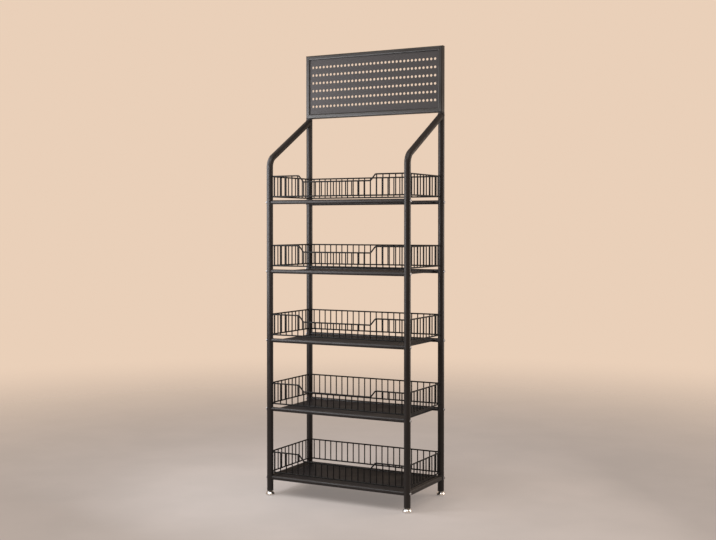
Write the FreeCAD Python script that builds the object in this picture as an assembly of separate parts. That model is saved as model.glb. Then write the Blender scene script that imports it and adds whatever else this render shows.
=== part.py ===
import FreeCAD, Part
import math
import os

# Snack display rack, in millimetres. The origin is on the floor, under the middle of the rack.
# X runs along the shelves, the front is towards -Y, and Z is up.

# Posts, centre to centre
post_span_x = 596.0
post_span_y = 306.0
post_d = 25.0
post_wall = 1.5

# Bent top of the front posts: where the two straight runs would meet, counted from the top shelf's rail,
# the rise from there to the rear post's axis, and how far the rear post goes on above that
front_corner_rise = 164.0
brace_rise = 175.0
rear_post_rise = 11.0
post_bend_r = 48.0

# Shelves, counted from the lowest
shelf_count = 5
shelf_pitch = 270.0
first_rail_z = 69.0
rail_d = 16.0
rail_wall = 1.5
cross_bar_d = 22.0
cross_bar_wall = 1.5

# Sheet deck between the rails
deck_t = 1.2
deck_rise = 2.0
deck_side_inset = 24.0
deck_lip_h = 5.0
deck_bend_r = 2.0

# Wire guards, heights above the rail's axis
guard_wire_d = 5.5
guard_bend_r = 10.0
guard_low_rise = 22.0
guard_top_rise = 101.0
guard_middle_rise = 76.5
guard_step_x = 166.0
guard_step_run = 20.5
picket_d = 4.5
long_picket_pitch = 26.3
side_picket_pitch = 27.0
picket_end_room = 8.0

# Peg header over the rear posts
header_h = 259.0
header_depth = 28.0
header_overhang = 9.0
header_bar_w = 18.0
header_bar_wall = 1.5
header_bar_round = 5.0
panel_t = 1.2
panel_recess = 5.0
peg_hole_d = 10.0
peg_pitch_x = 16.67
peg_pitch_z = 32.1
peg_side_room = 10.0
peg_top_room = 25.0
spigot_length = 45.0
spigot_wall = 1.5

# Shelf bolts and the nuts in the rail ends
bolt_d = 6.0
bolt_head_d = 11.0
bolt_head_h = 3.4
bolt_head_round = 2.0
bolt_socket_flats = 4.0
bolt_socket_depth = 2.0
bolt_grip = 17.0
nut_length = 20.0

# Plugs in the post ends
plug_flange_h = 5.0
plug_flange_edge_h = 4.0
plug_flange_bottom_d = 23.0
plug_insert_length = 20.0

# Levelling feet. The share says how full the curve of the cup's bell is: 0.5 is a straight cone.
foot_h = 17.0
cup_d = 36.5
cup_rim_h = 3.0
cup_floor_gap = 0.8
cup_top_d = 20.0
cup_bell_share = 0.63
pad_d = 32.0
pad_t = 3.0
stud_d = 8.0
stud_root_h = 4.0
stud_length = 46.0
stud_hex_flats = 13.0
stud_hex_h = 2.5

# Clearances
weld_gap = 0.1
slip_gap = 0.2
press_gap = 0.05
thread_gap = 0.3
bolt_hole_gap = 0.3
same_line = 1e-6

# Worked out from the sizes above
half_x = post_span_x / 2
half_y = post_span_y / 2
post_bottom_z = foot_h + plug_flange_h
post_bore_d = post_d - 2 * post_wall
rail_bore_d = rail_d - 2 * rail_wall
long_picket_room = post_span_x - post_d - 2 * picket_end_room
side_picket_room = post_span_y - post_d - 2 * picket_end_room
rail_heights = [first_rail_z + shelf_pitch * level for level in range(shelf_count)]
front_corner_z = rail_heights[-1] + front_corner_rise
brace_top_z = front_corner_z + brace_rise
rear_post_top_z = brace_top_z + rear_post_rise
header_w = post_span_x + 2 * header_overhang
header_top_z = rear_post_top_z + header_h
header_middle_z = rear_post_top_z + header_h / 2
panel_w = header_w - 2 * (header_bar_w + weld_gap)
panel_h = header_h - 2 * (header_bar_w + weld_gap)
header_front_y = half_y - header_depth / 2
sides = {"left": -1, "right": 1}
ends = {"front": -1, "rear": 1}
corners = [(x, y) for x in sides.values() for y in ends.values()]

along_x = FreeCAD.Vector(1, 0, 0)
along_y = FreeCAD.Vector(0, 1, 0)
along_z = FreeCAD.Vector(0, 0, 1)


def point(x, y, z):
    return FreeCAD.Vector(x, y, z)


def rod(start, direction, diameter, length):
    return Part.makeCylinder(diameter / 2, length, start, direction)


def tube(start, direction, diameter, wall, length):
    outside = rod(start, direction, diameter, length)
    return outside.cut(rod(start, direction, diameter - 2 * wall, length))


def plate(x0, x1, y0, y1, z0, z1):
    return Part.makeBox(x1 - x0, y1 - y0, z1 - z0, point(x0, y0, z0))


def prism(corner_points, depth):
    outline = Part.makePolygon(corner_points + corner_points[:1])
    return Part.Face(outline).extrude(depth)


def turned(profile, x, y):
    """A solid turned about the upright axis at x, y. The profile is a list of radius and height."""
    outline = [point(x + radius, y, z) for radius, z in profile]
    face = Part.Face(Part.makePolygon(outline + outline[:1]))
    return face.revolve(point(x, y, 0), along_z, 360)


def edges_along(shape, direction):
    """The straight edges of a shape that run one way."""
    found = []
    for edge in shape.Edges:
        run = edge.Vertexes[-1].Point - edge.Vertexes[0].Point
        if run.cross(direction).Length < same_line:
            found.append(edge)
    return found


def edges_above(edges, z):
    return [edge for edge in edges if edge.BoundBox.Center.z > z]


def hexagon(centre, direction, across_flats, length):
    """A hexagonal prism along X or Z."""
    radius = across_flats / math.sqrt(3)
    outline = []
    for corner in range(6):
        turn = math.radians(60 * corner)
        u = radius * math.cos(turn)
        v = radius * math.sin(turn)
        offset = point(0, u, v) if direction.x else point(u, v, 0)
        outline.append(centre + offset)
    return prism(outline, direction * length)


def bent_path(points, bend_r):
    """Straight runs through the points, with an arc of one radius at each inner point."""
    edges = []
    start = points[0]
    for before, corner, after in zip(points, points[1:], points[2:]):
        back = (before - corner).normalize()
        ahead = (after - corner).normalize()
        half_angle = back.getAngle(ahead) / 2
        tangent = bend_r / math.tan(half_angle)
        bisector = (back + ahead).normalize()
        centre = corner + bisector * (bend_r / math.sin(half_angle))
        arc_start = corner + back * tangent
        arc_end = corner + ahead * tangent
        edges.append(Part.makeLine(start, arc_start))
        edges.append(Part.Arc(arc_start, centre - bisector * bend_r, arc_end).toShape())
        start = arc_end
    edges.append(Part.makeLine(start, points[-1]))
    return Part.Wire(edges)


def bent_rod(points, bend_r, diameter):
    direction = points[1] - points[0]
    section = Part.Wire(Part.makeCircle(diameter / 2, points[0], direction))
    return bent_path(points, bend_r).makePipeShell([section], True, False)


def post_space(x, y, gap):
    """The room that an upright post takes, with a gap round it."""
    return rod(point(x, y, 0), along_z, post_d + 2 * gap, header_top_z)


def bolt_holes(x, y):
    """Holes through both walls of one post, at each shelf."""
    hole_d = bolt_d + 2 * bolt_hole_gap
    holes = []
    for z in rail_heights:
        holes.append(rod(point(x - post_d, y, z), along_x, hole_d, 2 * post_d))
    return Part.makeCompound(holes)


def front_post(x):
    foot = point(x, -half_y, post_bottom_z)
    corner = point(x, -half_y, front_corner_z)
    top = point(x, half_y, brace_top_z)
    outside = bent_rod([foot, corner, top], post_bend_r, post_d)
    inside = bent_rod([foot, corner, top], post_bend_r, post_bore_d)
    post = outside.cut(inside)
    post = post.cut(post_space(x, half_y, weld_gap))
    return post.cut(bolt_holes(x, -half_y))


def rear_post(x):
    length = rear_post_top_z - post_bottom_z
    post = tube(point(x, half_y, post_bottom_z), along_z, post_d, post_wall, length)
    return post.cut(bolt_holes(x, half_y))


def between_posts(bar, first, second):
    """A bar with both ends hollowed to fit round the posts at two places."""
    for x, y in (first, second):
        bar = bar.cut(post_space(x, y, weld_gap))
    return bar


def cross_bar(x):
    bar = tube(point(x, -half_y, first_rail_z), along_y, cross_bar_d, cross_bar_wall, post_span_y)
    return between_posts(bar, (x, -half_y), (x, half_y))


def rail(y, z):
    bar = tube(point(-half_x, y, z), along_x, rail_d, rail_wall, post_span_x)
    return between_posts(bar, (-half_x, y), (half_x, y))


def deck(z):
    """A flat sheet with a lip folded down along each short side, with a rounded fold."""
    reach_x = half_x - deck_side_inset
    reach_y = half_y - rail_d / 2 - weld_gap
    top = z + deck_rise
    outside = plate(-reach_x, reach_x, -reach_y, reach_y, top - deck_lip_h, top)
    folds = edges_above(edges_along(outside, along_y), top - deck_t)
    outside = outside.makeFillet(deck_bend_r, folds)
    under_x = reach_x - deck_t
    under = plate(-under_x, under_x, -half_y, half_y, top - 2 * deck_lip_h, top - deck_t)
    inner_folds = edges_above(edges_along(under, along_y), top - deck_lip_h)
    under = under.makeFillet(deck_bend_r - deck_t, inner_folds)
    return outside.cut(under)


def even_places(room, pitch):
    """As many places as fit in the room at one pitch, centred on zero."""
    count = 1 + int(room / pitch)
    return [(index - (count - 1) / 2) * pitch for index in range(count)]


def long_wire(y, z):
    wire = rod(point(-half_x, y, z), along_x, guard_wire_d, post_span_x)
    return between_posts(wire, (-half_x, y), (half_x, y))


def side_wire(x, z):
    wire = rod(point(x, -half_y, z), along_y, guard_wire_d, post_span_y)
    return between_posts(wire, (x, -half_y), (x, half_y))


def front_guard(z):
    """A guard whose top wire dips in the middle, so that the packs can be seen and taken."""
    y = -half_y
    low = z + guard_low_rise
    top = z + guard_top_rise
    middle = z + guard_middle_rise
    dip_x = guard_step_x - guard_step_run
    line = [(-half_x, top), (-guard_step_x, top), (-dip_x, middle)]
    line += [(dip_x, middle), (guard_step_x, top), (half_x, top)]
    top_wire = bent_rod([point(x, y, height) for x, height in line], guard_bend_r, guard_wire_d)
    top_wire = between_posts(top_wire, (-half_x, y), (half_x, y))
    pieces = [long_wire(y, low)]
    for x in even_places(long_picket_room, long_picket_pitch):
        climb = min(max((abs(x) - dip_x) / guard_step_run, 0), 1)
        reach = middle + climb * (top - middle)
        pieces.append(rod(point(x, y, low), along_z, picket_d, reach - low))
    return top_wire.multiFuse(pieces)


def back_guard(z):
    low = z + guard_low_rise
    top = z + guard_top_rise
    pieces = [long_wire(half_y, low)]
    for x in even_places(long_picket_room, long_picket_pitch):
        pieces.append(rod(point(x, half_y, low), along_z, picket_d, top - low))
    return long_wire(half_y, top).multiFuse(pieces)


def side_guard(x, z):
    low = z + guard_low_rise
    top = z + guard_top_rise
    pieces = [side_wire(x, low)]
    for y in even_places(side_picket_room, side_picket_pitch):
        pieces.append(rod(point(x, y, low), along_z, picket_d, top - low))
    return side_wire(x, top).multiFuse(pieces)


def mitred_bar(length, place):
    """A rectangular tube with mitred ends. place turns along, depth and in-from-the-edge into a point."""
    def trapezium(inset, y):
        outer = length / 2 - inset
        inner = length / 2 - header_bar_w + inset
        far_side = header_bar_w - inset
        corner_places = [(-outer, inset), (outer, inset), (inner, far_side), (-inner, far_side)]
        return [place(along, y, inward) for along, inward in corner_places]

    outside = prism(trapezium(0, header_front_y), along_y * header_depth)
    run = place(1, 0, 0) - place(0, 0, 0)
    outside = outside.makeFillet(header_bar_round, edges_along(outside, run))
    hollow_depth = header_depth - 2 * header_bar_wall
    hollow = prism(trapezium(header_bar_wall, header_front_y + header_bar_wall), along_y * hollow_depth)
    hollow = hollow.makeFillet(header_bar_round - header_bar_wall, edges_along(hollow, run))
    return outside.cut(hollow)


def header_bars():
    half_w = header_w / 2
    return {
        "header_bottom_bar": mitred_bar(header_w, lambda a, y, i: point(a, y, rear_post_top_z + i)),
        "header_top_bar": mitred_bar(header_w, lambda a, y, i: point(a, y, header_top_z - i)),
        "header_left_bar": mitred_bar(header_h, lambda a, y, i: point(-half_w + i, y, header_middle_z + a)),
        "header_right_bar": mitred_bar(header_h, lambda a, y, i: point(half_w - i, y, header_middle_z + a)),
    }


def peg_panel():
    half_w = panel_w / 2
    half_h = panel_h / 2
    y = header_front_y + panel_recess
    outline = [
        point(-half_w, y, header_middle_z - half_h),
        point(half_w, y, header_middle_z - half_h),
        point(half_w, y, header_middle_z + half_h),
        point(-half_w, y, header_middle_z + half_h),
    ]
    wires = [Part.makePolygon(outline + outline[:1])]
    for x in even_places(panel_w - 2 * peg_side_room, peg_pitch_x):
        for rise in even_places(panel_h - 2 * peg_top_room, peg_pitch_z):
            centre = point(x, y, header_middle_z + rise)
            wires.append(Part.Wire(Part.makeCircle(peg_hole_d / 2, centre, along_y)))
    face = Part.Face(wires, "Part::FaceMakerBullseye")
    return face.extrude(along_y * panel_t)


def spigots():
    pieces = []
    for x in (-half_x, half_x):
        start = point(x, half_y, rear_post_top_z - spigot_length)
        pieces.append(tube(start, along_z, post_bore_d - 2 * slip_gap, spigot_wall, spigot_length))
    return Part.makeCompound(pieces)


def shelf_bolt(side, y, z):
    """A button head bolt that points inwards through one post, with a hexagonal socket."""
    inward = along_x * -side
    seat = point(side * (half_x + post_d / 2), y, z)
    shank = rod(seat, inward, bolt_d, post_d + bolt_grip)
    head = rod(seat, inward * -1, bolt_head_d, bolt_head_h)
    rim = [edge for edge in head.Edges if abs(edge.BoundBox.Center.x - seat.x) > bolt_head_h / 2]
    rim = [edge for edge in rim if edge.BoundBox.XLength < bolt_head_h / 2]
    head = head.makeFillet(bolt_head_round, rim)
    socket_start = seat - inward * bolt_head_h
    socket = hexagon(socket_start, inward, bolt_socket_flats, bolt_socket_depth)
    return head.fuse(shank).cut(socket)


def rail_nut(side, y, z):
    inward = along_x * -side
    start = point(side * (half_x - post_d / 2 - weld_gap), y, z)
    nut = rod(start, inward, rail_bore_d - 2 * press_gap, nut_length)
    return nut.cut(rod(start, inward, bolt_d + 2 * press_gap, nut_length))


def every_rail_end(make):
    pieces = []
    for z in rail_heights:
        for side, y in corners:
            pieces.append(make(side, y * half_y, z))
    return Part.makeCompound(pieces)


def post_plug(x, y):
    insert_r = post_bore_d / 2 - press_gap
    bore_r = stud_d / 2 + thread_gap
    flange_r = post_d / 2
    bottom_r = plug_flange_bottom_d / 2
    shoulder_z = post_bottom_z - plug_flange_edge_h
    profile = [
        (bore_r, foot_h),
        (bottom_r, foot_h),
        (flange_r, shoulder_z),
        (flange_r, post_bottom_z),
        (insert_r, post_bottom_z),
        (insert_r, post_bottom_z + plug_insert_length),
        (bore_r, post_bottom_z + plug_insert_length),
    ]
    return turned(profile, x, y)


def foot_cup(x, y):
    """A bell-shaped cup, hollow underneath for the pad, with a hole for the stud."""
    rim_r = cup_d / 2
    top_z = foot_h - thread_gap - stud_hex_h
    rim_z = cup_floor_gap + cup_rim_h
    top_r = cup_top_d / 2
    hole_r = stud_d / 2 + press_gap
    seat_r = pad_d / 2 + press_gap
    rise = top_z - rim_z
    run = rim_r - top_r
    bell = point(x + top_r + run * cup_bell_share, y, rim_z + rise * cup_bell_share)
    rim = point(x + rim_r, y, rim_z)
    crown = point(x + top_r, y, top_z)
    outline = [
        point(x + hole_r, y, pad_t),
        point(x + seat_r, y, pad_t),
        point(x + seat_r, y, cup_floor_gap),
        point(x + rim_r, y, cup_floor_gap),
        rim,
    ]
    edges = [Part.makeLine(a, b) for a, b in zip(outline, outline[1:])]
    edges.append(Part.Arc(rim, bell, crown).toShape())
    inner_top = point(x + hole_r, y, top_z)
    edges.append(Part.makeLine(crown, inner_top))
    edges.append(Part.makeLine(inner_top, outline[0]))
    face = Part.Face(Part.Wire(edges))
    return face.revolve(point(x, y, 0), along_z, 360)


def foot_stud(x, y):
    """A threaded stud with a hexagon just above the cup."""
    shaft = rod(point(x, y, stud_root_h), along_z, stud_d, stud_length)
    hex_z = foot_h - thread_gap - stud_hex_h
    return shaft.fuse(hexagon(point(x, y, hex_z), along_z, stud_hex_flats, stud_hex_h))


def foot_pad(x, y):
    return rod(point(x, y, 0), along_z, pad_d, pad_t)


def build():
    nodes = {}
    for side, x in sides.items():
        nodes[f"{side}_front_post"] = front_post(x * half_x)
        nodes[f"{side}_rear_post"] = rear_post(x * half_x)
        nodes[f"{side}_cross_bar"] = cross_bar(x * half_x)
    for number, z in enumerate(rail_heights, 1):
        for end, y in ends.items():
            nodes[f"shelf_{number}_{end}_rail"] = rail(y * half_y, z)
        nodes[f"shelf_{number}_deck"] = deck(z)
        nodes[f"shelf_{number}_front_guard"] = front_guard(z)
        nodes[f"shelf_{number}_back_guard"] = back_guard(z)
        guards = [side_guard(x * half_x, z) for x in sides.values()]
        nodes[f"shelf_{number}_side_guards"] = Part.makeCompound(guards)
    nodes.update(header_bars())
    nodes["header_peg_panel"] = peg_panel()
    nodes["header_spigots"] = spigots()
    nodes["shelf_bolts"] = every_rail_end(shelf_bolt)
    nodes["rail_end_nuts"] = every_rail_end(rail_nut)
    plugs = [post_plug(x * half_x, y * half_y) for x, y in corners]
    nodes["post_end_plugs"] = Part.makeCompound(plugs)
    for side, x in sides.items():
        for end, y in ends.items():
            place = (x * half_x, y * half_y)
            nodes[f"{end}_{side}_foot_stud"] = foot_stud(*place)
            nodes[f"{end}_{side}_foot_cup"] = foot_cup(*place)
            nodes[f"{end}_{side}_foot_pad"] = foot_pad(*place)
    return nodes


os.makedirs("parts", exist_ok=True)
for name, shape in build().items():
    print(name, shape.isValid(), len(shape.Solids), round(shape.Volume))
    shape.exportStep(f"parts/{name}.step")
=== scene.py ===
import math

import bmesh
import bpy
from mathutils import Matrix, Vector


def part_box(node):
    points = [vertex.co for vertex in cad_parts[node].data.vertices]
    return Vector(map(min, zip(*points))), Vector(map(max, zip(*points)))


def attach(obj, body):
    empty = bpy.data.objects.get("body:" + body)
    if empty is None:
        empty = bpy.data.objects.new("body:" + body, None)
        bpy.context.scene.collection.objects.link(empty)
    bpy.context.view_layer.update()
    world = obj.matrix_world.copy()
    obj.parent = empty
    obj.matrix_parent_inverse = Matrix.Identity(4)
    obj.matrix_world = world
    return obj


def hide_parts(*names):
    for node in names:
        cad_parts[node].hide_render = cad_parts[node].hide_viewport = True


# Looks of the snack display rack, in metres. X runs along the shelves, the front is towards -Y, Z is up.

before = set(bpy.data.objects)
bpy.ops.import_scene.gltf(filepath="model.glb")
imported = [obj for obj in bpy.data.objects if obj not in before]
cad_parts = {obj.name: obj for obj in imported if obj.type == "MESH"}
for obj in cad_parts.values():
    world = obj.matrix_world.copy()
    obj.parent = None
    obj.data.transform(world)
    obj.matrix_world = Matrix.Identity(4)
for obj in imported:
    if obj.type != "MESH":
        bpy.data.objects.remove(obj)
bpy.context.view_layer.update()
mm = 0.001
quarter = math.pi / 2
merge_distance = 0.001 * mm

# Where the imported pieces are
shelf_numbers = range(1, 6)
side_signs = {"left": -1, "right": 1}
end_signs = {"front": -1, "rear": 1}


def middle(node):
    low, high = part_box(node)
    return (low + high) / 2


def extent(node):
    low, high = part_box(node)
    return high - low


post_r = extent("left_rear_post").x / 2
post_x = middle("right_rear_post").x
post_y = middle("right_rear_post").y
post_places = {
    (end, side): Vector((side_signs[side] * post_x, end_signs[end] * post_y, 0))
    for end in end_signs
    for side in side_signs
}
rail_r = extent("shelf_1_front_rail").z / 2
rail_z = {n: middle(f"shelf_{n}_front_rail").z for n in shelf_numbers}
cross_bar_r = extent("left_cross_bar").z / 2
deck_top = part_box("shelf_1_deck")[1].z - rail_z[1]
wire_r = extent("shelf_1_back_guard").y / 2
guard_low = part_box("shelf_1_back_guard")[0].z + wire_r - rail_z[1]
guard_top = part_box("shelf_1_back_guard")[1].z - wire_r - rail_z[1]

# Sizes of the source that the boxes don't show
brace_rise = 175.0 * mm
brace_top_z = 1488.0 * mm
deck_t = 1.2 * mm
guard_middle = 76.5 * mm
guard_dip_x = 145.5 * mm
guard_bend_r = 10.0 * mm
guard_bend_start_x = 140.8 * mm
picket_r = 2.25 * mm
long_picket_pitch = 26.3 * mm
long_picket_count = 22
side_picket_pitch = 27.0 * mm
side_picket_count = 10
header_bar_w = 18.0 * mm
header_bar_round = 5.0 * mm

# Sizes of the welds
frame_bead_r = 2.0 * mm
frame_bead_ripple = 0.07
wire_bead_r = 0.9 * mm
wire_bead_ripple = 0.05
picket_bead_r = 0.55 * mm
seam_bead_r = 0.5 * mm
stitch_length = 26.0 * mm
stitch_bead_r = 1.6 * mm
stitch_pitch = 110.0 * mm
stitch_count = 5
stitch_drop = 0.3 * mm
tack_length = 14.0 * mm
tack_bead_r = 1.5 * mm
long_tack_pitch = 125.0 * mm
long_tack_count = 5
side_tack_pitch = 110.0 * mm
side_tack_count = 2


# Node helpers

def add_node(tree, kind, **settings):
    node = tree.nodes.new(kind)
    for name, value in settings.items():
        setattr(node, name, value)
    return node


def object_place(tree):
    return add_node(tree, "ShaderNodeTexCoord").outputs["Object"]


def noise(tree, place, scale, detail=2.0, roughness=0.5):
    node = add_node(tree, "ShaderNodeTexNoise")
    node.inputs["Scale"].default_value = scale
    node.inputs["Detail"].default_value = detail
    node.inputs["Roughness"].default_value = roughness
    tree.links.new(place, node.inputs["Vector"])
    return node.outputs["Fac"]


def band(tree, value, low, high, to_low=0.0, to_high=1.0):
    """The value stretched so that low to high becomes to_low to to_high, smoothly."""
    node = add_node(tree, "ShaderNodeMapRange", interpolation_type="SMOOTHSTEP")
    node.inputs["From Min"].default_value = low
    node.inputs["From Max"].default_value = high
    node.inputs["To Min"].default_value = to_low
    node.inputs["To Max"].default_value = to_high
    tree.links.new(value, node.inputs["Value"])
    return node.outputs["Result"]


def combine(tree, operation, first, second):
    node = add_node(tree, "ShaderNodeMath", operation=operation)
    for socket, value in zip(node.inputs, (first, second)):
        if isinstance(value, (int, float)):
            socket.default_value = value
        else:
            tree.links.new(value, socket)
    return node.outputs["Value"]


def blend_colour(tree, mask, below, above):
    node = add_node(tree, "ShaderNodeMix", data_type="RGBA")
    tree.links.new(mask, node.inputs["Factor"])
    colours = [socket for socket in node.inputs if socket.type == "RGBA"]
    for socket, value in zip(colours, (below, above)):
        if isinstance(value, tuple):
            socket.default_value = (*value, 1.0)
        else:
            tree.links.new(value, socket)
    return [socket for socket in node.outputs if socket.type == "RGBA"][0]


def new_group(name, inputs, outputs):
    tree = bpy.data.node_groups.new(name, "ShaderNodeTree")
    for socket_name, value in inputs.items():
        socket = tree.interface.new_socket(
            name=socket_name, in_out="INPUT", socket_type="NodeSocketFloat")
        socket.default_value = value
    for socket_name in outputs:
        tree.interface.new_socket(name=socket_name, in_out="OUTPUT", socket_type="NodeSocketFloat")
    return tree, add_node(tree, "NodeGroupInput").outputs, add_node(tree, "NodeGroupOutput").inputs


def place_group(tree, group, **values):
    node = add_node(tree, "ShaderNodeGroup", node_tree=group)
    for name, value in values.items():
        node.inputs[name.replace("_", " ")].default_value = value
    return node.outputs


# Shared surface effects

def make_sprayed_skin():
    """The skin of a sprayed or moulded surface: a soft ripple with fine grain on it, and cloudy gloss."""
    tree, given, out = new_group(
        "sprayed_skin",
        {"Ripple Scale": 420.0, "Grain Scale": 1700.0, "Grain Share": 0.4, "Cloud Scale": 9.0},
        ("Height", "Cloud"),
    )
    place = object_place(tree)
    fields = {}
    for field, detail in (("Ripple", 1.0), ("Grain", 2.0), ("Cloud", 4.0)):
        texture = add_node(tree, "ShaderNodeTexNoise")
        texture.inputs["Detail"].default_value = detail
        tree.links.new(place, texture.inputs["Vector"])
        tree.links.new(given[f"{field} Scale"], texture.inputs["Scale"])
        fields[field] = texture.outputs["Fac"]
    shared = combine(tree, "MULTIPLY", fields["Grain"], given["Grain Share"])
    height = combine(tree, "ADD", fields["Ripple"], shared)
    tree.links.new(height, out["Height"])
    tree.links.new(band(tree, fields["Cloud"], low=0.3, high=0.7), out["Cloud"])
    return tree


def make_settled_dust():
    """Dust that settles on what faces up, thicker in drifts and specks."""
    speck_share = 0.6
    tree, given, out = new_group("settled_dust", {"Amount": 0.3}, ("Mask",))
    place = object_place(tree)
    facing = add_node(tree, "ShaderNodeSeparateXYZ")
    tree.links.new(add_node(tree, "ShaderNodeNewGeometry").outputs["Normal"], facing.inputs["Vector"])
    upward = band(tree, facing.outputs["Z"], low=0.35, high=1.0)
    drift = band(tree, noise(tree, place, scale=14.0, detail=5.0, roughness=0.6), low=0.35, high=0.75)
    speck = band(tree, noise(tree, place, scale=620.0, detail=1.0), low=0.62, high=0.74)
    spread = combine(tree, "ADD", drift, combine(tree, "MULTIPLY", speck, speck_share))
    mask = combine(tree, "MULTIPLY", upward, spread)
    tree.links.new(combine(tree, "MULTIPLY", mask, given["Amount"]), out["Mask"])
    return tree


def make_hand_rubs():
    """Faint rubs and hairline scratches from handling."""
    scratch_tilt = (0.6, 0.4, 0.9)
    scratch_stretch = (1.0, 9.0, 1.0)
    tree, given, out = new_group("hand_rubs", {"Amount": 0.3, "Scale": 60.0}, ("Mask",))
    place = object_place(tree)
    stretched = add_node(tree, "ShaderNodeMapping")
    stretched.inputs["Rotation"].default_value = scratch_tilt
    stretched.inputs["Scale"].default_value = scratch_stretch
    tree.links.new(place, stretched.inputs["Vector"])
    lines = add_node(tree, "ShaderNodeTexNoise")
    lines.inputs["Detail"].default_value = 3.0
    lines.inputs["Distortion"].default_value = 0.6
    tree.links.new(stretched.outputs["Vector"], lines.inputs["Vector"])
    tree.links.new(given["Scale"], lines.inputs["Scale"])
    hairline = band(tree, lines.outputs["Fac"], low=0.63, high=0.7)
    patch = band(tree, noise(tree, place, scale=11.0, detail=3.0), low=0.52, high=0.68)
    mask = combine(tree, "MULTIPLY", hairline, patch)
    tree.links.new(combine(tree, "MULTIPLY", mask, given["Amount"]), out["Mask"])
    return tree


sprayed_skin = make_sprayed_skin()
settled_dust = make_settled_dust()
hand_rubs = make_hand_rubs()


# Finishes

dust_colour = (0.30, 0.27, 0.24)


def new_finish(name):
    material = bpy.data.materials.new(name)
    material.use_nodes = True
    tree = material.node_tree
    return material, tree, tree.nodes["Principled BSDF"]


def cloudy_roughness(tree, skin, roughness):
    smoothest, dullest = roughness
    return band(tree, skin["Cloud"], low=0.0, high=1.0, to_low=smoothest, to_high=dullest)


def add_bump(tree, shader, height, strength, distance):
    bump = add_node(tree, "ShaderNodeBump")
    bump.inputs["Strength"].default_value = strength
    bump.inputs["Distance"].default_value = distance
    tree.links.new(height, bump.inputs["Height"])
    tree.links.new(bump.outputs["Normal"], shader.inputs["Normal"])


def powder_coat(name, deep, light, roughness, gloss, bump_strength, dust, ripple_scale=420.0):
    """Black powder coat: cloudy depth of colour, satin gloss, a fine ripple, light dust and rubs."""
    rub_polish = 0.12
    dust_dulling = 0.5
    material, tree, shader = new_finish(name)
    skin = place_group(tree, sprayed_skin, Ripple_Scale=ripple_scale)
    dusty = place_group(tree, settled_dust, Amount=dust)["Mask"]
    rubbed = place_group(tree, hand_rubs, Amount=0.5)["Mask"]
    colour = blend_colour(tree, skin["Cloud"], deep, light)
    colour = blend_colour(tree, dusty, colour, dust_colour)
    tree.links.new(colour, shader.inputs["Base Color"])
    rough = cloudy_roughness(tree, skin, roughness)
    rough = combine(tree, "SUBTRACT", rough, combine(tree, "MULTIPLY", rubbed, rub_polish))
    rough = combine(tree, "ADD", rough, combine(tree, "MULTIPLY", dusty, dust_dulling))
    tree.links.new(rough, shader.inputs["Roughness"])
    shader.inputs["Specular IOR Level"].default_value = gloss
    add_bump(tree, shader, skin["Height"], strength=bump_strength, distance=0.3 * mm)
    return material


def bright_plating(name, deep, light, roughness):
    """Bright plating: cloudy tone, faint orange peel and the hairlines of handling."""
    rub_dulling = 0.15
    material, tree, shader = new_finish(name)
    skin = place_group(tree, sprayed_skin, Ripple_Scale=150.0, Grain_Share=0.1, Cloud_Scale=70.0)
    rubbed = place_group(tree, hand_rubs, Amount=0.8, Scale=260.0)["Mask"]
    tree.links.new(blend_colour(tree, skin["Cloud"], deep, light), shader.inputs["Base Color"])
    shader.inputs["Metallic"].default_value = 1.0
    rough = cloudy_roughness(tree, skin, roughness)
    rough = combine(tree, "ADD", rough, combine(tree, "MULTIPLY", rubbed, rub_dulling))
    tree.links.new(rough, shader.inputs["Roughness"])
    add_bump(tree, shader, skin["Height"], strength=0.03, distance=0.2 * mm)
    return material


def dull_plating(name, deep, light, roughness):
    """Dull plating: cloudy tone between two tints, and a fine grain."""
    material, tree, shader = new_finish(name)
    skin = place_group(tree, sprayed_skin, Ripple_Scale=500.0, Cloud_Scale=120.0)
    tree.links.new(blend_colour(tree, skin["Cloud"], deep, light), shader.inputs["Base Color"])
    shader.inputs["Metallic"].default_value = 1.0
    tree.links.new(cloudy_roughness(tree, skin, roughness), shader.inputs["Roughness"])
    add_bump(tree, shader, skin["Height"], strength=0.1, distance=0.1 * mm)
    return material


def moulded_plastic(name, deep, light, roughness):
    """Moulded plastic: a fine grain, and dust on what faces up."""
    material, tree, shader = new_finish(name)
    skin = place_group(tree, sprayed_skin, Ripple_Scale=900.0, Grain_Scale=2600.0, Cloud_Scale=60.0)
    dusty = place_group(tree, settled_dust, Amount=0.25)["Mask"]
    colour = blend_colour(tree, skin["Cloud"], deep, light)
    tree.links.new(blend_colour(tree, dusty, colour, dust_colour), shader.inputs["Base Color"])
    tree.links.new(cloudy_roughness(tree, skin, roughness), shader.inputs["Roughness"])
    add_bump(tree, shader, skin["Height"], strength=0.15, distance=0.1 * mm)
    return material


def recoat(node, coat):
    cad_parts[node].material_slots[0].material = coat


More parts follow.
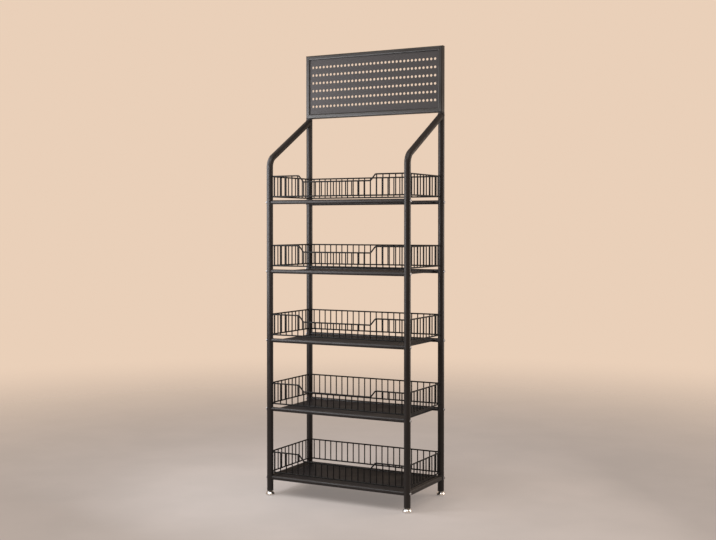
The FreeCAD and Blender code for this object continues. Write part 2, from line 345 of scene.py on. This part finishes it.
frame_coat = powder_coat(
    "satin_black_coat", deep=(0.0136, 0.0117, 0.0119), light=(0.0200, 0.0170, 0.0170),
    roughness=(0.40, 0.50), gloss=0.35, bump_strength=0.16, dust=0.05)
guard_coat = powder_coat(
    "wire_black_coat", deep=(0.004, 0.004, 0.0045), light=(0.007, 0.007, 0.0075),
    roughness=(0.46, 0.56), gloss=0.18, bump_strength=0.10, dust=0.03)
header_coat = powder_coat(
    "header_black_coat", deep=(0.014, 0.0136, 0.014), light=(0.020, 0.0192, 0.0196),
    roughness=(0.34, 0.42), gloss=0.60, bump_strength=0.12, dust=0.04)
# The decks' coat is a darker, cooler copy of the frame's black coat: painted shade on the shelf tops.
deck_coat_painted_shade = powder_coat(
    "deck_black_coat_painted_shade", deep=(0.0062, 0.0067, 0.0096), light=(0.0098, 0.0103, 0.0136),
    roughness=(0.46, 0.58), gloss=0.17, bump_strength=0.10, dust=0.03)
# The peg panel's coat is a lighter copy of the frame's black coat: painted sheen on the panel.
panel_coat_painted_sheen = powder_coat(
    "panel_black_coat_painted_sheen", deep=(0.042, 0.0396, 0.0412), light=(0.050, 0.0470, 0.0490),
    roughness=(0.64, 0.74), gloss=0.34, bump_strength=0.30, dust=0.04, ripple_scale=300.0)
chrome = bright_plating(
    "polished_chrome", deep=(0.88, 0.89, 0.90), light=(0.94, 0.94, 0.94), roughness=(0.16, 0.26))
nickel = bright_plating(
    "satin_nickel_plate", deep=(0.34, 0.34, 0.36), light=(0.46, 0.46, 0.47), roughness=(0.40, 0.50))
zinc = dull_plating(
    "zinc_plate", deep=(0.48, 0.49, 0.52), light=(0.62, 0.60, 0.53), roughness=(0.26, 0.42))
plug_plastic = moulded_plastic(
    "black_plug_plastic", deep=(0.012, 0.012, 0.012), light=(0.022, 0.021, 0.021), roughness=(0.42, 0.58))
pad_plastic = moulded_plastic(
    "white_pad_plastic", deep=(0.62, 0.61, 0.58), light=(0.72, 0.71, 0.68), roughness=(0.42, 0.58))

finishes = {
    "black_powder_coat": frame_coat,
    "chrome": chrome,
    "satin_nickel": nickel,
    "zinc_steel": zinc,
    "plug_plastic": plug_plastic,
    "pad_plastic": pad_plastic,
}
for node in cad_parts.values():
    for slot in node.material_slots:
        slot.material = finishes[slot.material.name.split(".")[0]]
for number in shelf_numbers:
    recoat(f"shelf_{number}_deck", deck_coat_painted_shade)
    for guard in ("front_guard", "back_guard", "side_guards"):
        recoat(f"shelf_{number}_{guard}", guard_coat)
for bar in ("bottom", "top", "left", "right"):
    recoat(f"header_{bar}_bar", header_coat)
recoat("header_peg_panel", panel_coat_painted_sheen)


# Making pieces

def new_piece(name, bm, finish, body, crease=60.0):
    """A finished piece on a body, shaded smooth except at edges sharper than the crease."""
    for face in bm.faces:
        face.smooth = True
    mesh = bpy.data.meshes.new(name)
    bm.to_mesh(mesh)
    bm.free()
    mesh.set_sharp_from_angle(angle=math.radians(crease))
    mesh.materials.append(finish)
    piece = bpy.data.objects.new(name, mesh)
    bpy.context.scene.collection.objects.link(piece)
    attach(piece, body)
    return piece


def as_template(bm):
    mesh = bpy.data.meshes.new("template")
    bm.to_mesh(mesh)
    bm.free()
    return mesh


def add_copy(bm, template, matrix):
    before = len(bm.verts)
    bm.from_mesh(template)
    bm.verts.ensure_lookup_table()
    bmesh.ops.transform(bm, matrix=matrix, verts=bm.verts[before:])


def turned_about_z(turn, place):
    return Matrix.Translation(place) @ Matrix.Rotation(turn, 4, "Z")


def even_places(count, pitch):
    return [(index - (count - 1) / 2) * pitch for index in range(count)]


# Shapes of the weld beads

def ring_frame(place, along, outward):
    """Where one ring of a bead sits: its Z along the bead, its Y out of the corner."""
    ahead = along.normalized()
    across = outward.cross(ahead).normalized()
    up = ahead.cross(across)
    return Matrix.Translation(place) @ Matrix((across, up, ahead)).transposed().to_4x4()


def join_rings(bm, rings):
    for first, second in rings:
        bmesh.ops.bridge_loops(bm, edges=first + second)
    bmesh.ops.recalc_face_normals(bm, faces=bm.faces)


def add_ring(bm, sides, radius, matrix, cap=False):
    made = bmesh.ops.create_circle(bm, cap_ends=cap, segments=sides, radius=radius, matrix=matrix)
    return list({edge for vert in made["verts"] for edge in vert.link_edges})


def closed_bead(line, bead_r, sides, ripple=0.0):
    """A rippled bead round a joint, from places that each come with the way out of the corner."""
    slow_waves = 3
    fast_waves = 7
    fast_shift = 1.0
    wander_share = 0.5
    bm = bmesh.new()
    rings = []
    count = len(line)
    for index, (place, outward) in enumerate(line):
        along = line[(index + 1) % count][0] - line[index - 1][0]
        slow = math.sin(math.tau * slow_waves * index / count)
        fast = math.sin(math.tau * fast_waves * index / count + fast_shift)
        wander = wander_share * ripple * (slow + fast)
        radius = bead_r * (1 + ripple * math.cos(math.pi * index) + wander)
        rings.append(add_ring(bm, sides, radius, ring_frame(place, along, outward)))
    join_rings(bm, zip(rings, rings[1:] + rings[:1]))
    return as_template(bm)


def stitch_bead(length, bead_r):
    """A short rippled bead along X, pinched at both ends."""
    steps = 9
    sides = 8
    pinch = 0.25
    swell_power = 0.4
    ripple = 0.06
    bm = bmesh.new()
    rings = []
    for step in range(steps):
        share = step / (steps - 1)
        swell = max(math.sin(math.pi * share), 0.0) ** swell_power
        radius = bead_r * (pinch + (1 - pinch) * swell) * (1 + ripple * math.cos(math.pi * step))
        place = Vector(((share - 0.5) * length, 0, 0))
        frame_here = ring_frame(place, Vector((1, 0, 0)), Vector((0, 0, 1)))
        rings.append(add_ring(bm, sides, radius, frame_here, cap=step in (0, steps - 1)))
    join_rings(bm, zip(rings, rings[1:]))
    return as_template(bm)


def bar_on_post(direction, bar_r, steps):
    """The joint round the end of a bar that runs along a direction into the middle of a post."""
    side = direction.cross(Vector((0, 0, 1))).normalized()
    up = side.cross(direction)
    run = direction.xy
    line = []
    for step in range(steps):
        turn = math.tau * step / steps
        out = side * math.cos(turn) + up * math.sin(turn)
        edge = out * bar_r
        half_b = edge.xy.dot(run)
        room = half_b ** 2 - run.length_squared * (edge.xy.length_squared - post_r ** 2)
        travel = (-half_b - math.sqrt(max(room, 0))) / run.length_squared
        place = edge + direction * travel
        away = Vector((place.x, place.y, 0)).normalized()
        line.append((place, (out + away).normalized()))
    return line


def picket_on_wire(steps):
    """The joint round the end of an upright picket on a wire along X."""
    line = []
    for step in range(steps):
        turn = math.tau * step / steps
        out = Vector((math.cos(turn), math.sin(turn), 0))
        across = picket_r * out.y
        height = math.sqrt(wire_r ** 2 - across ** 2)
        wire_out = Vector((0, across, height)) / wire_r
        line.append((out * picket_r + Vector((0, 0, height)), (out + wire_out).normalized()))
    return line


def mitre_on_bars(front_y, depth, half_w, half_h):
    """The joint round the mitre of two rounded bars, at the header's lower left corner."""
    arc_steps = 5
    line = []
    for across, back, start in ((1, 1, 0), (0, 1, 1), (0, 0, 2), (1, 0, 3)):
        centre_in = header_bar_round if across == 0 else header_bar_w - header_bar_round
        centre_y = header_bar_round if back == 0 else depth - header_bar_round
        for step in range(arc_steps):
            turn = quarter * (start + step / (arc_steps - 1))
            inward = centre_in + header_bar_round * math.cos(turn)
            y = front_y + centre_y + header_bar_round * math.sin(turn)
            outward = Vector((math.cos(turn), math.sin(turn), math.cos(turn))).normalized()
            line.append((Vector((inward - half_w, y, inward - half_h)), outward))
    return line


# Welds of the frame, the shelves and the header

upside_down = Matrix.Rotation(math.pi, 4, "X")


def dip_height(x):
    """How high the front guard's top wire is at a place: low in the middle, with a bend up at each end."""
    if abs(x) > guard_dip_x:
        return guard_top
    into_bend = max(abs(x) - guard_bend_start_x, 0)
    return guard_middle + into_bend ** 2 / (2 * guard_bend_r)


def make_frame_welds():
    """Beads round the ends of the cross bars, and round the top of each brace."""
    bm = bmesh.new()
    bar_line = bar_on_post(Vector((0, 1, 0)), cross_bar_r, steps=64)
    bar_weld = closed_bead(bar_line, frame_bead_r, sides=8, ripple=frame_bead_ripple)
    for place in post_places.values():
        turn = 0 if place.y > 0 else math.pi
        add_copy(bm, bar_weld, turned_about_z(turn, place + Vector((0, 0, rail_z[1]))))
    brace_way = Vector((0, 2 * post_y, brace_rise)).normalized()
    brace_line = bar_on_post(brace_way, post_r, steps=72)
    brace_weld = closed_bead(brace_line, frame_bead_r, sides=8, ripple=frame_bead_ripple)
    for side in side_signs:
        place = post_places["rear", side] + Vector((0, 0, brace_top_z))
        add_copy(bm, brace_weld, Matrix.Translation(place))
    return new_piece("frame_welds", bm, frame_coat, "frame")


def make_guard_welds(number, wire_weld, picket_weld):
    """Beads where the guards' wires meet the posts, and at both ends of every picket."""
    bm = bmesh.new()
    low = rail_z[number] + guard_low
    top = rail_z[number] + guard_top
    for (end, side), place in post_places.items():
        long_turn = 0 if side == "right" else math.pi
        side_turn = quarter if end == "rear" else -quarter
        for height in (low, top):
            for turn in (long_turn, side_turn):
                add_copy(bm, wire_weld, turned_about_z(turn, place + Vector((0, 0, height))))
    for x in even_places(long_picket_count, long_picket_pitch):
        heights = {-post_y: rail_z[number] + dip_height(x), post_y: top}
        for y, upper in heights.items():
            add_copy(bm, picket_weld, Matrix.Translation((x, y, low)))
            add_copy(bm, picket_weld, Matrix.Translation((x, y, upper)) @ upside_down)
    for y in even_places(side_picket_count, side_picket_pitch):
        for x in (-post_x, post_x):
            add_copy(bm, picket_weld, turned_about_z(quarter, (x, y, low)))
            add_copy(bm, picket_weld, turned_about_z(quarter, (x, y, top)) @ upside_down)
    return new_piece(f"shelf_{number}_guard_welds", bm, guard_coat, "frame")


def make_deck_welds():
    """Stitch welds under the decks, along both rails."""
    bm = bmesh.new()
    stitch = stitch_bead(stitch_length, stitch_bead_r)
    inner_y = post_y - rail_r
    for height in rail_z.values():
        stitch_z = height + deck_top - deck_t - stitch_drop
        for x in even_places(stitch_count, stitch_pitch):
            for y in (-inner_y, inner_y):
                add_copy(bm, stitch, Matrix.Translation((x, y, stitch_z)))
    return new_piece("deck_stitch_welds", bm, frame_coat, "frame")


def add_panel_tacks(bm):
    tack = stitch_bead(tack_length, tack_bead_r)
    upright = Matrix.Rotation(quarter, 4, "Y")
    panel_low, panel_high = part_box("header_peg_panel")
    panel_middle = middle("header_peg_panel")
    for x in even_places(long_tack_count, long_tack_pitch):
        for z in (panel_low.z, panel_high.z):
            add_copy(bm, tack, Matrix.Translation((x, panel_high.y, z)))
    for rise in even_places(side_tack_count, side_tack_pitch):
        for x in (panel_low.x, panel_high.x):
            place = (x, panel_high.y, panel_middle.z + rise)
            add_copy(bm, tack, Matrix.Translation(place) @ upright)


def add_mitre_seams(bm):
    header_low, header_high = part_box("header_left_bar")
    depth = header_high.y - header_low.y
    half_w = extent("header_bottom_bar").x / 2
    half_h = (header_high.z - header_low.z) / 2
    seam = closed_bead(mitre_on_bars(header_low.y, depth, half_w, half_h), seam_bead_r, sides=6)
    place = Vector((middle("header_bottom_bar").x, 0, header_low.z + half_h))
    for x in (-1, 1):
        for z in (-1, 1):
            flip = Matrix.Diagonal((-x, 1, -z, 1))
            add_copy(bm, seam, Matrix.Translation(place) @ flip)


def make_header_welds():
    """Tack welds behind the peg panel, and a ground seam round each mitre of the header's bars."""
    bm = bmesh.new()
    add_panel_tacks(bm)
    add_mitre_seams(bm)
    bmesh.ops.recalc_face_normals(bm, faces=bm.faces)
    return new_piece("header_welds", bm, header_coat, "frame")


# Levelling feet

def spun(bm, profile, rounds, steps):
    """A closed ring shape turned about Z from a profile of radius and height, with rounded corners."""
    verts = [bm.verts.new((radius, 0, z)) for radius, z in profile]
    for first, second in zip(verts, verts[1:] + verts[:1]):
        bm.edges.new((first, second))
    for vert, size in zip(verts, rounds):
        if size:
            bmesh.ops.bevel(bm, geom=[vert], offset=size, offset_type="OFFSET", segments=3,
                            profile=0.5, affect="VERTICES", material=-1)
    outline = bm.verts[:] + bm.edges[:]
    bmesh.ops.spin(bm, geom=outline, axis=(0, 0, 1), cent=(0, 0, 0), angle=math.tau, steps=steps,
                   use_merge=True)
    bmesh.ops.remove_doubles(bm, verts=bm.verts, dist=merge_distance)
    bmesh.ops.recalc_face_normals(bm, faces=bm.faces)


def make_foot_cup(foot, place):
    """A pressed cup: a bell with a domed top, a rounded rim, and a seat for the pad underneath."""
    node = f"{foot}_cup"
    low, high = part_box(node)
    rim_r = (high.x - low.x) / 2
    rim_z = low.z + 3.0 * mm
    rim_round = 0.9 * mm
    seat_play = 0.05 * mm
    seat_r = extent(f"{foot}_pad").x / 2 + seat_play
    seat_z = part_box(f"{foot}_pad")[1].z
    seat_round = 0.4 * mm
    hole_r = 4.05 * mm
    hole_round = 0.2 * mm
    crown_r = 10.0 * mm
    dome_steps = 14
    bell = 1.35
    profile = [(hole_r, high.z)]
    rounds = [hole_round]
    for step in range(dome_steps + 1):
        turn = quarter * (1 - step / dome_steps)
        radius = crown_r + (rim_r - crown_r) * max(math.cos(turn), 0.0) ** bell
        profile.append((radius, rim_z + (high.z - rim_z) * max(math.sin(turn), 0.0) ** bell))
        rounds.append(0)
    profile += [(rim_r, low.z), (seat_r, low.z), (seat_r, seat_z), (hole_r, seat_z)]
    rounds += [rim_round, seat_round, 0, 0]
    bm = bmesh.new()
    spun(bm, profile, rounds, steps=64)
    bmesh.ops.translate(bm, vec=place, verts=bm.verts)
    piece = new_piece(f"{foot}_pressed_cup", bm, chrome, foot, crease=50.0)
    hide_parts(node)


def add_thread(bm, low_z, high_z):
    """A rolled thread about Z, cut flat and closed at both heights."""
    thread_r = 4.0 * mm
    root_r = 3.35 * mm
    pitch = 1.25 * mm
    crest_start = 0.42
    crest_end = 0.58
    turn_steps = 24
    spare_turns = 2
    turns = math.ceil((high_z - low_z) / pitch) + spare_turns
    profile = [(root_r, 0), (thread_r, crest_start), (thread_r, crest_end), (root_r, 1)]
    verts = [bm.verts.new((radius, 0, low_z + (share - 1) * pitch)) for radius, share in profile]
    edges = [bm.edges.new(pair) for pair in zip(verts, verts[1:])]
    bmesh.ops.spin(bm, geom=verts + edges, axis=(0, 0, 1), cent=(0, 0, 0),
                   dvec=(0, 0, pitch / turn_steps), angle=math.tau * turns, steps=turns * turn_steps)
    bmesh.ops.remove_doubles(bm, verts=bm.verts, dist=merge_distance)
    for height, way in ((low_z, -1), (high_z, 1)):
        whole = bm.verts[:] + bm.edges[:] + bm.faces[:]
        cut = bmesh.ops.bisect_plane(bm, geom=whole, plane_co=(0, 0, height), plane_no=(0, 0, way),
                                     clear_outer=True)
        rim = [item for item in cut["geom_cut"] if isinstance(item, bmesh.types.BMEdge)]
        bmesh.ops.edgeloop_fill(bm, edges=rim)


def add_hexagon(bm, low_z):
    """A flat hexagon about Z with chamfered edges."""
    across_flats = 13.0 * mm
    height = 2.5 * mm
    chamfer = 0.4 * mm
    corner_r = across_flats / math.sqrt(3)
    hexagon = bmesh.ops.create_cone(bm, cap_ends=True, segments=6, radius1=corner_r, radius2=corner_r,
                                    depth=height, matrix=Matrix.Translation((0, 0, low_z + height / 2)))
    edges = list({edge for vert in hexagon["verts"] for edge in vert.link_edges})
    bmesh.ops.bevel(bm, geom=edges, offset=chamfer, offset_type="OFFSET", segments=2, profile=0.5,
                    affect="EDGES", material=-1)


def make_foot_stud(foot, place):
    """A screw with a rolled thread and a chamfered hexagon."""
    node = f"{foot}_stud"
    low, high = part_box(node)
    bm = bmesh.new()
    add_thread(bm, low.z, high.z)
    add_hexagon(bm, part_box(f"{foot}_cup")[1].z)
    bmesh.ops.recalc_face_normals(bm, faces=bm.faces)
    bmesh.ops.translate(bm, vec=place, verts=bm.verts)
    piece = new_piece(f"{foot}_threaded_stud", bm, zinc, foot, crease=35.0)
    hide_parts(node)


wire_line = bar_on_post(Vector((1, 0, 0)), wire_r, steps=12)
guard_wire_weld = closed_bead(wire_line, wire_bead_r, sides=6, ripple=wire_bead_ripple)
guard_picket_weld = closed_bead(picket_on_wire(steps=8), picket_bead_r, sides=4)
welds = [make_frame_welds(), make_deck_welds(), make_header_welds()]
for number in shelf_numbers:
    welds.append(make_guard_welds(number, guard_wire_weld, guard_picket_weld))
for (end, side), place in post_places.items():
    make_foot_cup(f"{end}_{side}_foot", place)
    make_foot_stud(f"{end}_{side}_foot", place)


# Floor, light and camera

backdrop = (0.82, 0.63, 0.485)
room_light = 0.5
cool_white = (0.96, 0.97, 1.0)
soft_white = (1.0, 0.98, 0.95)
warm_white = (1.0, 0.88, 0.78)


def make_floor():
    """A pale floor round the rack that fades into the backdrop."""
    reach = 14.0
    fade_start = 1.0
    fade_end = 5.0
    glow = 0.36
    deep = (0.34, 0.32, 0.31)
    light = (0.38, 0.355, 0.345)
    bm = bmesh.new()
    bmesh.ops.create_circle(bm, cap_ends=True, segments=96, radius=reach)
    mesh = bpy.data.meshes.new("floor")
    bm.to_mesh(mesh)
    bm.free()
    floor = bpy.data.objects.new("floor", mesh)
    bpy.context.scene.collection.objects.link(floor)
    material, tree, shader = new_finish("pale_floor")
    place = object_place(tree)
    shader.inputs["Roughness"].default_value = 0.55
    shader.inputs["Specular IOR Level"].default_value = 0.3
    tone = band(tree, noise(tree, place, scale=3.0, detail=5.0), low=0.3, high=0.7)
    tree.links.new(blend_colour(tree, tone, deep, light), shader.inputs["Base Color"])
    ray = add_node(tree, "ShaderNodeLightPath").outputs
    seen = combine(tree, "MAXIMUM", ray["Is Camera Ray"], ray["Is Glossy Ray"])
    seen = combine(tree, "MAXIMUM", seen, ray["Is Transmission Ray"])
    shader.inputs["Emission Color"].default_value = (0.56, 0.50, 0.47, 1.0)
    tree.links.new(combine(tree, "MULTIPLY", seen, glow), shader.inputs["Emission Strength"])
    from_middle = add_node(tree, "ShaderNodeVectorMath", operation="LENGTH")
    tree.links.new(place, from_middle.inputs[0])
    far = band(tree, from_middle.outputs["Value"], low=fade_start, high=fade_end)
    clear = add_node(tree, "ShaderNodeBsdfTransparent")
    mix = add_node(tree, "ShaderNodeMixShader")
    tree.links.new(far, mix.inputs["Fac"])
    tree.links.new(shader.outputs["BSDF"], mix.inputs[1])
    tree.links.new(clear.outputs["BSDF"], mix.inputs[2])
    tree.links.new(mix.outputs["Shader"], tree.nodes["Material Output"].inputs["Surface"])
    mesh.materials.append(material)


def make_world():
    """A pale backdrop that the camera sees, and less of it as a soft even light on the rack."""
    world = bpy.data.worlds.new("pale_room")
    bpy.context.scene.world = world
    world.use_nodes = True
    tree = world.node_tree
    shader = tree.nodes["Background"]
    shader.inputs["Color"].default_value = (*backdrop, 1.0)
    ray = add_node(tree, "ShaderNodeLightPath").outputs
    seen = combine(tree, "MAXIMUM", ray["Is Camera Ray"], ray["Is Transmission Ray"])
    tree.links.new(combine(tree, "MAXIMUM", seen, room_light), shader.inputs["Strength"])


def add_light(name, place, target, width, height, power, colour):
    lamp = bpy.data.lights.new(name, "AREA")
    lamp.shape = "RECTANGLE"
    lamp.size = width
    lamp.size_y = height
    lamp.energy = power
    lamp.color = colour
    holder = bpy.data.objects.new(name, lamp)
    bpy.context.scene.collection.objects.link(holder)
    holder.visible_camera = False
    holder.location = place
    holder.rotation_euler = (Vector(target) - Vector(place)).to_track_quat("-Z", "Y").to_euler()


def make_camera():
    """The viewing angle of the photograph, whose picture is 716 by 540 pixels."""
    azimuth = math.radians(27.985)
    pitch = math.radians(1.0866)
    place = (2.0917, -3.9151, 1.0524)
    data = bpy.data.cameras.new("camera")
    data.sensor_width = 36.0
    data.lens = 57.058
    data.shift_y = -0.03
    camera = bpy.data.objects.new("camera", data)
    bpy.context.scene.collection.objects.link(camera)
    camera.location = place
    camera.rotation_euler = (quarter - pitch, 0.0, azimuth)
    bpy.context.scene.camera = camera


make_floor()
make_world()
add_light("left_softbox", place=(-0.78, -0.3, 1.28), target=(-0.25, 0.0, 1.16),
          width=0.5, height=1.1, power=8.0, colour=cool_white)
add_light("front_left_softbox", place=(-0.55, -0.85, 1.1), target=(-0.28, 0.0, 1.1),
          width=0.4, height=0.9, power=10.0, colour=cool_white)
add_light("overhead_softbox", place=(0.3, -1.4, 3.2), target=(0.0, 0.0, 0.6),
          width=2.4, height=1.6, power=36.0, colour=soft_white)
add_light("right_fill", place=(1.25, 0.75, 1.05), target=(0.25, 0.05, 1.4),
          width=0.8, height=1.2, power=12.0, colour=warm_white)
make_camera()
bpy.context.scene.view_settings.view_transform = "Standard"
